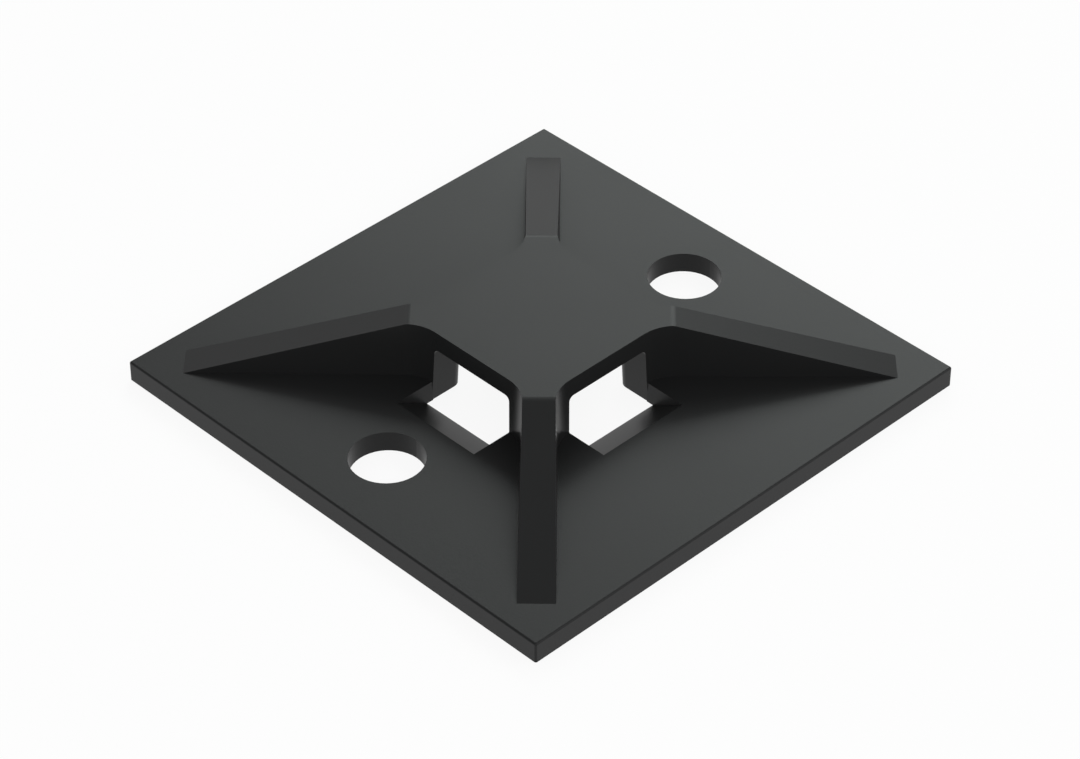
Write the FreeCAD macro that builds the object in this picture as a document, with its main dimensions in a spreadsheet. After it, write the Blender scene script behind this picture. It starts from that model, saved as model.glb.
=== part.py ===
import FreeCAD, Part
import math
import os
import Sketcher
from FreeCAD import Placement, Rotation, Vector

# A four-way cable tie mount: a square plate with a raised platform in the middle, four ribs that run
# down the diagonals to the plate's corners, and two passages that cross under the platform, so that
# a tie can go through either way. It is one moulding, drawn from a mould in two halves: the upper
# half forms the platform's sides, the ribs and the sloping ends of the slots, the lower half forms
# the passages. Every upright face leans by the same draft angle, away from the half that forms it.

# The frame: origin at the middle of the flat underside, Z up, X and Y across the plate's sides.
# The screw holes lie on the X axis.

# Driving sizes, in millimetres and degrees: name, value, what it is
SIZES = [
    ("plate_side", 28.0, "side of the square plate"),
    ("plate_thickness", 1.1, "thickness of the plate"),
    ("rim_round", 0.1, "rounding of the plate's upper rim and of its four corners"),
    ("mount_height", 4.1, "underside to the platform's top"),
    ("platform_side", 9.0, "side of the platform, across its top"),
    ("draft_angle", 2.0, "lean of every upright moulded face"),
    ("rib_width", 1.76, "width of a rib where it stands on the plate"),
    ("rib_setback", 2.68, "plate's corner to a rib's foot, along the diagonal"),
    ("knee_reach", 6.32, "centre to where a rib starts to fall, along the diagonal"),
    ("knee_round", 1.0, "rounding between the platform's top and a rib's slope"),
    ("root_round", 2.2, "rounding between the platform's sides and the ribs, seen from above"),
    ("passage_width", 5.3, "width of a tie passage, at its widest"),
    ("passage_height", 3.1, "underside to the passage's ceiling"),
    ("pillar_round", 0.55, "rounding of the four pillars between the passages"),
    ("ceiling_round", 0.3, "rounding between the pillars and the ceiling"),
    ("mouth_gap", 0.02, "how far a passage is carried past the platform's side"),
    ("sill_length", 0.42, "platform's side to the foot of a ramp"),
    ("ramp_angle", 30.0, "rise of the ramp at the end of a slot"),
    ("hole_diameter", 3.7, "screw hole"),
    ("hole_spacing", 20.0, "middle of one screw hole to the middle of the other"),
]

# Lengths worked out from the sheet, each written once as an expression
RISE = "(sizes.mount_height - sizes.plate_thickness)"
RIB_REACH = "(sizes.plate_side / sqrt(2) - sizes.rib_setback)"
PLATFORM_FOOT = f"(sizes.platform_side / 2 + {RISE} * tan(sizes.draft_angle))"
PASSAGE_FOOT = "(sizes.passage_width / 2)"
PASSAGE_TOP = f"({PASSAGE_FOOT} - sizes.passage_height * tan(sizes.draft_angle))"

# A root rounding starts this far from the middle of the platform's side
ROOT_CORNER = f"({PLATFORM_FOOT} - sizes.rib_width / sqrt(2))"
ROOT_START = f"({ROOT_CORNER} - sizes.root_round * tan(22.5))"

# Beyond there the side swells outwards, and the passage has to clear the swelling at its jambs
SWELL_RUN = f"max(0; {PASSAGE_FOOT} - {ROOT_START})"
SWELL = f"(sizes.root_round - sqrt(sizes.root_round ^ 2 - min({SWELL_RUN}; sizes.root_round) ^ 2))"
MOUTH = f"({PLATFORM_FOOT} + {SWELL} + sizes.mouth_gap)"

# The slot in the plate, past the platform: its foot on the underside, its rim on the plate's top
SLOT_FOOT = f"({PLATFORM_FOOT} + sizes.sill_length + {SWELL})"
SLOT_RIM = f"({SLOT_FOOT} + sizes.plate_thickness / tan(sizes.ramp_angle))"

# The plane in which the two halves of the mould meet outside the passages
MOULD_HALF = "mould_half"

# Sketcher's names for the ends of a line, the middle of a circle, and the sketch's own axes
START, END, MIDDLE = range(1, 4)
ORIGIN = X_AXIS = -1

QUARTER_TURNS = 4
CLOSE = 1e-4


def make_sheet(doc):
    """The sheet of driving sizes: name, value under that name, meaning."""
    sheet = doc.addObject("Spreadsheet::Sheet", "sizes")
    for row, (name, value, meaning) in enumerate(SIZES, start=1):
        sheet.set(f"A{row}", name)
        sheet.set(f"B{row}", str(value))
        sheet.setAlias(f"B{row}", name)
        sheet.set(f"C{row}", meaning)
    doc.recompute()
    return sheet


def value_of(item, expression):
    """The number that an expression on the sheet gives now."""
    return float(item.evalExpression(expression))


def origin_item(body, role):
    """One of the body's own origin planes or axes, by its role."""
    return next(item for item in body.Origin.OriginFeatures if item.Role == role)


def add_sketch(body, name, plane, height="", turn=None):
    """A sketch on an origin plane, raised by an expression or turned within its own frame."""
    sketch = body.newObject("Sketcher::SketchObject", name)
    sketch.AttachmentSupport = [(origin_item(body, plane), "")]
    sketch.MapMode = "FlatFace"
    if turn:
        sketch.AttachmentOffset = Placement(Vector(), turn)
    if height:
        sketch.setExpression(".AttachmentOffset.Base.z", height)
    return sketch


def hold(sketch, kind, geometry, point, expression):
    """Holds a point at a distance from the sketch's origin, given by an expression."""
    now = value_of(sketch, expression)
    index = sketch.addConstraint(Sketcher.Constraint(kind, ORIGIN, START, geometry, point, now))
    sketch.setExpression(f"Constraints[{index}]", expression)


def draw_outline(sketch, corners):
    """A closed outline of straight lines through corners, each a pair of expressions."""
    places = [Vector(value_of(sketch, x), value_of(sketch, y), 0) for x, y in corners]
    for here, there in zip(places, places[1:] + places[:1]):
        sketch.addGeometry(Part.LineSegment(here, there), False)
    for line, (x, y) in enumerate(corners):
        following = (line + 1) % len(corners)
        sketch.addConstraint(Sketcher.Constraint("Coincident", line, END, following, START))
        hold(sketch, "DistanceX", line, START, x)
        hold(sketch, "DistanceY", line, START, y)


def draw_rectangle(sketch, left, right, half_depth):
    """A rectangle from left to right along X, and as far to either side of the X axis."""
    low, high = f"-{half_depth}", half_depth
    draw_outline(sketch, [(left, low), (right, low), (right, high), (left, high)])


def add_feature(body, kind, name, profile, expressions, **settings):
    """A feature made from a sketch, with its plain settings and its sizes bound to the sheet."""
    feature = body.newObject(f"PartDesign::{kind}", name)
    feature.Profile = profile
    for setting, choice in settings.items():
        setattr(feature, setting, choice)
    for size, expression in expressions.items():
        feature.setExpression(size, expression)
    body.Document.recompute()
    return feature


def repeat(body, name, features, copies):
    """Repeats features evenly about the Z axis, within a full turn or, for two, within a quarter."""
    pattern = body.newObject("PartDesign::PolarPattern", name)
    pattern.Originals = features
    pattern.Axis = (origin_item(body, "Z_Axis"), [""])
    pattern.Mode = "Spacing"
    pattern.Offset = 360 / QUARTER_TURNS
    pattern.Occurrences = copies
    body.Tip = pattern
    body.Document.recompute()
    return pattern


def round_edges(body, name, base, radius, wanted):
    """Rounds the edges of a feature that a test picks by their two ends and their middle."""
    picked = []
    for number, edge in enumerate(base.Shape.Edges, start=1):
        ends = [vertex.Point for vertex in edge.Vertexes]
        middle = edge.valueAt((edge.FirstParameter + edge.LastParameter) / 2)
        if len(ends) == 2 and wanted(ends, middle):
            picked.append(f"Edge{number}")
    fillet = body.newObject("PartDesign::Fillet", name)
    fillet.Base = (base, picked)
    fillet.setExpression("Radius", radius)
    body.Document.recompute()
    print(name, "rounds", len(picked), "edges")
    return fillet


def lean_faces(body, name, base, wanted):
    """Leans the upright faces that a test picks, each turned about its line at the plate's top."""
    picked = []
    for number, face in enumerate(base.Shape.Faces, start=1):
        if abs(face.normalAt(0, 0).z) < CLOSE and wanted(face):
            picked.append(f"Face{number}")
    draft = body.newObject("PartDesign::Draft", name)
    draft.Base = (base, picked)
    draft.NeutralPlane = (body.Document.getObject(MOULD_HALF), [""])
    draft.setExpression("Angle", "sizes.draft_angle")
    body.Document.recompute()
    print(name, "leans", len(picked), "faces")
    return draft


def add_mould_half(body):
    """The level plane at the plate's top, about which the upright faces lean."""
    level = body.newObject("PartDesign::Plane", MOULD_HALF)
    level.AttachmentSupport = [(origin_item(body, "XY_Plane"), "")]
    level.MapMode = "FlatFace"
    level.setExpression(".AttachmentOffset.Base.z", "sizes.plate_thickness")


def add_plate(body):
    """The flat square plate, with its upper rim and its corners just taken off."""
    outline = add_sketch(body, "plate_outline", "XY_Plane")
    half = "(sizes.plate_side / 2)"
    draw_rectangle(outline, f"-{half}", half, half)
    plate = add_feature(body, "Pad", "plate", outline, {"Length": "sizes.plate_thickness"})
    return round_edges(body, "rim", plate, "sizes.rim_round",
                       lambda ends, middle: max(end.z for end in ends) > CLOSE)


def add_platform_and_ribs(body):
    """The block of the platform and the four ribs, all at full height, with leaning sides."""
    outline = add_sketch(body, "platform_outline", "XY_Plane", height="sizes.plate_thickness")
    draw_rectangle(outline, f"-{PLATFORM_FOOT}", PLATFORM_FOOT, PLATFORM_FOOT)
    add_feature(body, "Pad", "platform", outline, {"Length": RISE})

    diagonal = Rotation(Vector(0, 0, 1), 45)
    outline = add_sketch(body, "rib_outline", "XY_Plane", "sizes.plate_thickness", diagonal)
    draw_rectangle(outline, "0 mm", RIB_REACH, "(sizes.rib_width / 2)")
    rib = add_feature(body, "Pad", "rib", outline, {"Length": RISE})
    ribs = repeat(body, "ribs", [rib], QUARTER_TURNS)

    thickness = value_of(ribs, "sizes.plate_thickness")
    reach = value_of(ribs, RIB_REACH)

    def is_side(face):
        middle = face.CenterOfMass
        at_rib_end = abs(math.hypot(middle.x, middle.y) - reach) < CLOSE
        return middle.z > thickness and not at_rib_end

    leaning = lean_faces(body, "leaning_sides", ribs, is_side)

    corner = value_of(leaning, ROOT_CORNER)
    foot = value_of(leaning, PLATFORM_FOOT)
    rise = value_of(leaning, RISE)

    def is_root(ends, middle):
        low, high = sorted(ends, key=lambda end: end.z)
        near, far = sorted((abs(low.x), abs(low.y)))
        return abs(high.z - low.z - rise) < CLOSE and abs(near - corner) + abs(far - foot) < CLOSE

    return round_edges(body, "roots", leaning, "sizes.root_round", is_root)


def slope_ribs(body):
    """Cuts each rib down to a straight slope that meets the plate at the rib's foot."""
    upright = Rotation(Vector(0, 1, 0), 45)
    profile = add_sketch(body, "slope_profile", "XZ_Plane", turn=upright)
    above = f"(sizes.mount_height + {RISE})"
    draw_outline(profile, [
        ("sizes.knee_reach", "sizes.mount_height"),
        (RIB_REACH, "sizes.plate_thickness"),
        (RIB_REACH, above),
        ("sizes.knee_reach", above),
    ])
    width = "sizes.rib_width + 2 * sizes.root_round"
    slope = add_feature(body, "Pocket", "slope", profile, {"Length": width}, Midplane=True)
    slopes = repeat(body, "slopes", [slope], QUARTER_TURNS)

    top = value_of(slopes, "sizes.mount_height")
    knee = value_of(slopes, "sizes.knee_reach")

    def is_knee(ends, middle):
        level = all(abs(end.z - top) < CLOSE for end in ends)
        return level and abs((abs(middle.x) + abs(middle.y)) / math.sqrt(2) - knee) < CLOSE

    return round_edges(body, "knees", slopes, "sizes.knee_round", is_knee)


def add_slots(body):
    """The four slots in the plate beyond the platform, each ending in a ramp up to the plate's top."""
    profile = add_sketch(body, "slot_profile", "XZ_Plane")
    draw_outline(profile, [
        (MOUTH, "0 mm"),
        (SLOT_FOOT, "0 mm"),
        (SLOT_RIM, "sizes.plate_thickness"),
        (MOUTH, "sizes.plate_thickness"),
    ])
    slot = add_feature(body, "Pocket", "slot", profile, {"Length": "sizes.passage_width"}, Midplane=True)
    slots = repeat(body, "slots", [slot], QUARTER_TURNS)

    half = value_of(slots, PASSAGE_FOOT)

    def is_slot_wall(face):
        middle = face.CenterOfMass
        return abs(min(abs(middle.x), abs(middle.y)) - half) < CLOSE

    return lean_faces(body, "leaning_slot_walls", slots, is_slot_wall)


def add_passages(body):
    """The two passages that cross under the platform, open below, narrowing towards the ceiling."""
    section = add_sketch(body, "passage_section", "YZ_Plane")
    draw_outline(section, [
        (f"-{PASSAGE_FOOT}", "0 mm"),
        (PASSAGE_FOOT, "0 mm"),
        (PASSAGE_TOP, "sizes.passage_height"),
        (f"-{PASSAGE_TOP}", "sizes.passage_height"),
    ])
    passage = add_feature(body, "Pocket", "passage", section, {"Length": f"2 * {MOUTH}"}, Midplane=True)
    passages = repeat(body, "passages", [passage], 2)

    ceiling = value_of(passages, "sizes.passage_height")
    wall = value_of(passages, PASSAGE_TOP)

    def is_pillar_edge(ends, middle):
        spans = abs(abs(ends[0].z - ends[1].z) - ceiling) < CLOSE
        return spans and abs(abs(middle.x) - abs(middle.y)) < CLOSE

    def is_ceiling_edge(ends, middle):
        level = all(abs(end.z - ceiling) < CLOSE for end in ends)
        return level and min(abs(middle.x), abs(middle.y)) > wall - CLOSE

    pillars = round_edges(body, "pillars", passages, "sizes.pillar_round", is_pillar_edge)
    return round_edges(body, "ceiling", pillars, "sizes.ceiling_round", is_ceiling_edge)


def add_screw_holes(body):
    """Two plain screw holes, one on each side of the platform."""
    centres = add_sketch(body, "screw_centres", "XY_Plane", height="sizes.plate_thickness")
    radius = value_of(centres, "sizes.hole_diameter / 2")
    reach = "sizes.hole_spacing / 2"
    for circle, place in enumerate((f"-{reach}", reach)):
        middle = Vector(value_of(centres, place), 0, 0)
        centres.addGeometry(Part.Circle(middle, Vector(0, 0, 1), radius), False)
        centres.addConstraint(Sketcher.Constraint("PointOnObject", circle, MIDDLE, X_AXIS))
        hold(centres, "DistanceX", circle, MIDDLE, place)
        size = centres.addConstraint(Sketcher.Constraint("Diameter", circle, 2 * radius))
        centres.setExpression(f"Constraints[{size}]", "sizes.hole_diameter")
    body.Document.recompute()
    return add_feature(body, "Hole", "screw_holes", centres, {"Diameter": "sizes.hole_diameter"},
                       ThreadType="None", DepthType="ThroughAll", HoleCutType="None")


def check(doc, body):
    """Stops if a step failed or took nothing away, or if the moulding isn't one sound solid."""
    for item in doc.Objects:
        if "Invalid" in item.State or "Error" in item.State:
            raise RuntimeError(f"{item.Label} failed: {item.State}")
    for sketch in doc.findObjects("Sketcher::SketchObject"):
        if not sketch.FullyConstrained:
            raise RuntimeError(f"{sketch.Label} isn't fully constrained")
    shape = body.Shape
    if shape.isNull() or not shape.isValid() or len(shape.Solids) != 1:
        raise RuntimeError("the mount isn't one valid solid")
    before = None
    for item in body.Group:
        if item.isDerivedFrom("PartDesign::Feature"):
            change = item.Shape.Volume - (before or 0)
            print(f"{item.Label:12s} {item.Shape.Volume:9.3f} mm3, change {change:+9.3f}")
            if abs(change) < CLOSE:
                raise RuntimeError(f"{item.Label} changed nothing")
            before = item.Shape.Volume


def main():
    doc = FreeCAD.newDocument("cable_tie_mount")
    make_sheet(doc)
    body = doc.addObject("PartDesign::Body", "tie_mount")
    body.Label = "tie_mount"
    add_mould_half(body)
    add_plate(body)
    add_platform_and_ribs(body)
    slope_ribs(body)
    add_slots(body)
    add_passages(body)
    add_screw_holes(body)
    doc.recompute()
    check(doc, body)
    box = body.Shape.optimalBoundingBox()
    print(f"box {box.XLength:.3f} x {box.YLength:.3f} x {box.ZLength:.3f} mm")
    os.makedirs("parts", exist_ok=True)
    body.Shape.exportStep(os.path.join("parts", f"{body.Label}.step"))


main()
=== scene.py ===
# %% [markdown]
# # A cable tie mount in black nylon
# The object is one small moulding: a square plate, a low platform on four diagonal ribs, and two
# passages that cross under the platform for cable ties. Its shape comes finished from CAD, so this
# lesson is about the rest of a product picture: the finish of the plastic, the camera, the table and
# the light. The moulding could be rebuilt here from planes and bevels, but every edge of it has a
# measured place, so it is loaded as it is and only gets a material.

# %% Load the moulding
import math

import bpy
from mathutils import Matrix, Vector

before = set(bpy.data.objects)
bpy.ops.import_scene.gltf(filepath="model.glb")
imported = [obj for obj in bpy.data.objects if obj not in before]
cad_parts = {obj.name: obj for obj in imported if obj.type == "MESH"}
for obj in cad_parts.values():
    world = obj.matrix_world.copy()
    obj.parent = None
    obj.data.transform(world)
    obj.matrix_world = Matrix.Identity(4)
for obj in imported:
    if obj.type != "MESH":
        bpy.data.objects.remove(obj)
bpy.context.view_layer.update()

MILLIMETRE = 0.001
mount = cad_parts["tie_mount"]
print("corners", len(mount.data.vertices), "faces", len(mount.data.polygons))

# %% [markdown]
# ## Wiring nodes by hand
# A material is a small network of nodes. Each node is added to a tree, its plain settings and its
# input values are filled in, and then its inputs are linked to the outputs of others. Two helpers
# keep that to one call a node, so that the material cells below read like a list of ingredients.

# %% Two helpers for nodes
def add_node(tree, kind, inputs=(), **settings):
    """Adds one node. Each input gets a number, a colour or another node's output."""
    node = tree.nodes.new(kind)
    for setting, choice in settings.items():
        setattr(node, setting, choice)
    for name, given in dict(inputs).items():
        if isinstance(given, bpy.types.NodeSocket):
            tree.links.new(given, node.inputs[name])
        else:
            node.inputs[name].default_value = given
    return node


def calculate(tree, operation, first, second=0.0):
    """A sum, product or other calculation of two numbers."""
    return add_node(tree, "ShaderNodeMath", {0: first, 1: second}, operation=operation).outputs[0]


# %% [markdown]
# ## The skin of a moulding
# The mould of a part like this is spark-eroded: sparks leave overlapping craters, about a tenth of a
# millimetre across and a thousandth or two deep, and the plastic copies them. That skin is what makes
# black nylon look satin and not glossy. It could be modelled, but it would take millions of faces,
# so it is a bump made from two patterns: rounded cells for the craters and a finer noise for the
# grain in them.
#
# Nylon also shrinks a little unevenly as it cools, which shows as broad, faint changes of gloss.
# And the steep faces slide along the mould as the moulding is pushed out, which scuffs them duller.
# The group gives all three as masks, and the material decides how strong they are.

# %% Node group: moulded skin
GRAIN_DETAIL = 3.0
GRAIN_ROUGHNESS = 0.6
CLOUD_DETAIL = 2.0
CLOUD_TWIST = 0.6
STEEP_FROM = 0.5
STEEP_FULLY = 0.1


def make_group(name, inputs, outputs):
    """An empty node group with named sockets; returns its tree, its entry and its exit."""
    tree = bpy.data.node_groups.new(name, "ShaderNodeTree")
    for socket, kind, start in inputs:
        made = tree.interface.new_socket(name=socket, in_out="INPUT", socket_type=kind)
        made.default_value = start
    for socket, kind in outputs:
        tree.interface.new_socket(name=socket, in_out="OUTPUT", socket_type=kind)
    return tree, tree.nodes.new("NodeGroupInput"), tree.nodes.new("NodeGroupOutput")


def make_skin_group():
    """Masks from 0 to 1: the height of the craters, the cloudy gloss and the scuffed steep faces."""
    tree, entry, leave = make_group(
        "moulded_skin",
        [("Crater Width", "NodeSocketFloat", 0.0001), ("Cloud Width", "NodeSocketFloat", 0.005)],
        [("Relief", "NodeSocketFloat"), ("Cloud", "NodeSocketFloat"), ("Scuffed", "NodeSocketFloat")],
    )
    coordinates = tree.nodes.new("ShaderNodeTexCoord")
    place = coordinates.outputs["Object"]
    per_crater = calculate(tree, "DIVIDE", 1.0, entry.outputs["Crater Width"])
    per_cloud = calculate(tree, "DIVIDE", 1.0, entry.outputs["Cloud Width"])

    craters = add_node(tree, "ShaderNodeTexVoronoi", {"Vector": place, "Scale": per_crater})
    grain = add_node(tree, "ShaderNodeTexNoise",
                     {"Vector": place, "Scale": per_crater,
                      "Detail": GRAIN_DETAIL, "Roughness": GRAIN_ROUGHNESS})
    relief = calculate(tree, "ADD", craters.outputs["Distance"], grain.outputs["Fac"])
    tree.links.new(calculate(tree, "MULTIPLY", relief, 0.5), leave.inputs["Relief"])

    cloud = add_node(tree, "ShaderNodeTexNoise",
                     {"Vector": place, "Scale": per_cloud,
                      "Detail": CLOUD_DETAIL, "Distortion": CLOUD_TWIST})
    tree.links.new(cloud.outputs["Fac"], leave.inputs["Cloud"])

    facing = add_node(tree, "ShaderNodeSeparateXYZ", {"Vector": coordinates.outputs["Normal"]})
    steep = add_node(tree, "ShaderNodeMapRange",
                     {"Value": calculate(tree, "ABSOLUTE", facing.outputs["Z"]),
                      "From Min": STEEP_FROM, "From Max": STEEP_FULLY, "To Min": 0.0, "To Max": 1.0})
    tree.links.new(steep.outputs["Result"], leave.inputs["Scuffed"])
    return tree


skin_group = make_skin_group()
print("group", skin_group.name, "puts out", [s.name for s in skin_group.nodes["Group Output"].inputs])

# %% [markdown]
# ## Black nylon
# Black nylon is coloured through and through with soot, so its colour hardly varies: what the eye
# reads is the sheen. The Principled shader gives a dark base under a satin reflection, and the skin
# group moves the roughness, tints the base very slightly and raises the craters through a bump.

# %% Material: black nylon
NYLON_DARKER = (0.0124, 0.0127, 0.0129, 1.0)
NYLON_PALER = (0.0138, 0.0141, 0.0143, 1.0)
NYLON_IOR = 1.53
NYLON_SHEEN = 0.137
SATIN = 0.33
CLOUD_CHANGE = 0.04
SCUFFED_CHANGE = 0.03
CRATER_WIDTH = 0.13 * MILLIMETRE
CRATER_DEPTH = 0.0016 * MILLIMETRE
CLOUD_WIDTH = 6.0 * MILLIMETRE


def make_black_nylon():
    """Satin black plastic with a spark-eroded skin."""
    material = bpy.data.materials.new("black_nylon_satin")
    material.use_nodes = True
    tree = material.node_tree
    shader = tree.nodes["Principled BSDF"]
    shader.inputs["IOR"].default_value = NYLON_IOR
    shader.inputs["Specular IOR Level"].default_value = NYLON_SHEEN

    skin = add_node(tree, "ShaderNodeGroup", node_tree=skin_group)
    skin.inputs["Crater Width"].default_value = CRATER_WIDTH
    skin.inputs["Cloud Width"].default_value = CLOUD_WIDTH

    tint = tree.nodes.new("ShaderNodeValToRGB")
    tint.color_ramp.elements[0].color = NYLON_DARKER
    tint.color_ramp.elements[1].color = NYLON_PALER
    tree.links.new(skin.outputs["Cloud"], tint.inputs["Fac"])
    tree.links.new(tint.outputs["Color"], shader.inputs["Base Color"])

    cloudy = calculate(tree, "MULTIPLY", skin.outputs["Cloud"], CLOUD_CHANGE)
    scuffed = calculate(tree, "MULTIPLY", skin.outputs["Scuffed"], SCUFFED_CHANGE)
    change = calculate(tree, "ADD", cloudy, scuffed)
    tree.links.new(calculate(tree, "ADD", change, SATIN - CLOUD_CHANGE / 2), shader.inputs["Roughness"])

    bump = add_node(tree, "ShaderNodeBump", {"Height": skin.outputs["Relief"], "Distance": CRATER_DEPTH})
    tree.links.new(bump.outputs["Normal"], shader.inputs["Normal"])
    return material


black_nylon = make_black_nylon()
mount.material_slots[0].material = black_nylon
print("finish", black_nylon.name, "with", len(black_nylon.node_tree.nodes), "nodes")

# %% [markdown]
# ## The table
# The mount lies on a pale table that runs out of the picture on every side. A real white table is
# only as bright as the light on it, so a photographer lights it apart from the object. Stronger lamps
# would whiten it too, but they would bleach the black nylon. So the paper glows, and only where it is
# seen: straight from the camera by nine tenths, and plain white in a reflection or through glass. The
# tenth of bare paper that the camera still sees keeps the object's shadow.

# %% Table
TABLE_SIDE = 6.0
TABLE_WHITE = (0.9, 0.9, 0.9, 1.0)
TABLE_GLOW = 0.9


def ways_seen(tree):
    """Two masks: what the camera sees straight, and what is seen mirrored or through glass."""
    path = tree.nodes.new("ShaderNodeLightPath")
    mirrored = calculate(tree, "MAXIMUM", path.outputs["Is Glossy Ray"],
                         path.outputs["Is Transmission Ray"])
    return path.outputs["Is Camera Ray"], mirrored


def make_table_white():
    """White paper that glows a little where it is seen."""
    material = bpy.data.materials.new("table_white")
    material.use_nodes = True
    tree = material.node_tree
    tree.nodes.remove(tree.nodes["Principled BSDF"])
    paper = add_node(tree, "ShaderNodeBsdfDiffuse", {"Color": TABLE_WHITE})
    glow = add_node(tree, "ShaderNodeEmission", {"Color": (1.0, 1.0, 1.0, 1.0), "Strength": 1.0})
    straight, mirrored = ways_seen(tree)
    share = calculate(tree, "MAXIMUM", calculate(tree, "MULTIPLY", straight, TABLE_GLOW), mirrored)
    mixed = add_node(tree, "ShaderNodeMixShader",
                     {0: share, 1: paper.outputs["BSDF"], 2: glow.outputs["Emission"]})
    tree.links.new(mixed.outputs["Shader"], tree.nodes["Material Output"].inputs["Surface"])
    material.cycles.emission_sampling = "NONE"
    return material


bpy.ops.mesh.primitive_plane_add(size=TABLE_SIDE, location=(0, 0, 0))
table = bpy.context.object
table.name = "table"
table.data.materials.append(make_table_white())
print("table", TABLE_SIDE, "m square at height", table.location.z)

# %% [markdown]
# ## The camera
# A long lens from a hand's breadth away keeps the plate's sides nearly parallel. The camera stands
# off the front corner and looks down at about 39 degrees. Its direction could be set by turning the
# camera until the picture fits. Here it is worked out: one direction from the aim to the camera, and
# three square axes built on it, so that the roll can be given too.

# %% Camera
PICTURE_WIDTH = 1080
FOCAL_PIXELS = 3734.8
AZIMUTH = math.radians(-44.4597)
ELEVATION = math.radians(38.7891)
ROLL = math.radians(-0.0457)
DISTANCE = 180.266 * MILLIMETRE
AIM_RIGHT = -0.0108 * MILLIMETRE
AIM_DOWN = -0.1177 * MILLIMETRE
NEAREST_SEEN = DISTANCE / 10


def make_camera():
    """The camera at the picture's viewing angle."""
    data = bpy.data.cameras.new("camera")
    data.sensor_fit = "HORIZONTAL"
    data.lens = FOCAL_PIXELS * data.sensor_width / PICTURE_WIDTH
    data.clip_start = NEAREST_SEEN
    camera = bpy.data.objects.new("camera", data)
    bpy.context.scene.collection.objects.link(camera)

    level = math.cos(ELEVATION)
    back = Vector((math.sin(AZIMUTH) * level, -math.cos(AZIMUTH) * level, math.sin(ELEVATION)))
    right = Vector((0, 0, 1)).cross(back).normalized()
    down = right.cross(back)
    turned_right = right * math.cos(ROLL) + down * math.sin(ROLL)
    turned_down = down * math.cos(ROLL) - right * math.sin(ROLL)
    place = back * DISTANCE + turned_right * AIM_RIGHT + turned_down * AIM_DOWN
    axes = Matrix((turned_right, -turned_down, back)).transposed()
    camera.matrix_world = Matrix.Translation(place) @ axes.to_4x4()
    return camera


camera = make_camera()
bpy.context.scene.camera = camera
print("lens", round(camera.data.lens, 1), "mm, stands at", [round(x, 4) for x in camera.location])

# %% [markdown]
# ## The light
# Dark satin plastic shows its shape by what it mirrors, and hardly by its own colour. Three soft lamps
# behind the object make the level faces glow, more to the right than to the left, and leave the faces
# that look at the camera dark. The other two only open the shadows. Watts could be tried out lamp by
# lamp. Here each lamp is given by where it stands, seen from the camera, and by how much of a level
# white card's brightness comes from it: together with the room's own light they add up to about 1, so
# that a colour renders about as it is written. Two of the lamps behind are a hair greener than plain
# white, as lighting tubes are. That shows only in the sheen, so it is theirs and not the nylon's.

# %% Lamps
PLAIN_WHITE = (1.0, 1.0, 1.0)
TUBE_WHITE = (0.94, 1.0, 0.98)
LAMP_DISTANCE = 0.8
LAMPS = [
    # name, degrees to the right of straight behind, degrees up, metres wide, share, colour
    ("back_lamp", 7.0, 31.0, 0.31, 0.103, TUBE_WHITE),
    ("back_left_lamp", -28.0, 38.0, 0.30, 0.038, PLAIN_WHITE),
    ("back_right_lamp", 25.0, 45.0, 0.30, 0.080, TUBE_WHITE),
    ("right_lamp", 94.0, 28.0, 0.60, 0.125, PLAIN_WHITE),
    ("front_lamp", 180.0, 35.0, 0.60, 0.205, PLAIN_WHITE),
]


def add_lamp(name, turn, rise, width, share, colour):
    """A square soft lamp that faces the object."""
    data = bpy.data.lights.new(name, "AREA")
    data.color = colour
    data.size = width
    data.energy = share * math.pi ** 2 * LAMP_DISTANCE ** 2 / math.sin(math.radians(rise))
    lamp = bpy.data.objects.new(name, data)
    bpy.context.scene.collection.objects.link(lamp)
    turn = AZIMUTH - math.radians(turn)
    rise = math.radians(rise)
    away = Vector((-math.sin(turn) * math.cos(rise), math.cos(turn) * math.cos(rise), math.sin(rise)))
    facing = away.to_track_quat("Z", "Y").to_matrix().to_4x4()
    lamp.matrix_world = Matrix.Translation(away * LAMP_DISTANCE) @ facing
    return lamp


for row in LAMPS:
    lamp = add_lamp(*row)
    print(lamp.name, round(lamp.data.energy, 2), "W")

# %% [markdown]
# ## The room
# The room is far away and gives a weak, even light, a little under half of the whole. A ring of white
# screens could stand for it, but an even room needs no shape. The camera sees it plain white. In a
# reflection or through glass only the foot of its walls is white, where they meet the table, and above
# that it is as dim as the light it gives. A rib that slopes away mirrors just that height, and a taller
# white wall would make it paler than the plate.

# %% Room
ROOM_SHARE = 0.44
WALL_TOP = math.sin(math.radians(1))
CEILING_FROM = math.sin(math.radians(4))


def make_room():
    """A white background with a dim even light."""
    world = bpy.data.worlds.new("room")
    world.use_nodes = True
    tree = world.node_tree
    background = tree.nodes["Background"]
    direction = add_node(tree, "ShaderNodeSeparateXYZ",
                         {"Vector": tree.nodes.new("ShaderNodeTexCoord").outputs["Generated"]})
    wall = add_node(tree, "ShaderNodeMapRange",
                    {"Value": direction.outputs["Z"], "From Min": WALL_TOP, "From Max": CEILING_FROM,
                     "To Min": 1.0, "To Max": 0.0})
    straight, mirrored = ways_seen(tree)
    shown = calculate(tree, "MULTIPLY", mirrored, wall.outputs["Result"])
    strength = calculate(tree, "MAXIMUM", calculate(tree, "MAXIMUM", straight, shown), ROOM_SHARE)
    tree.links.new(strength, background.inputs["Strength"])
    background.inputs["Color"].default_value = (1.0, 1.0, 1.0, 1.0)
    world.cycles.sampling_method = "NONE"
    return world


bpy.context.scene.world = make_room()
bpy.context.scene.view_settings.view_transform = "Standard"
print("room gives", ROOM_SHARE, "of the light")
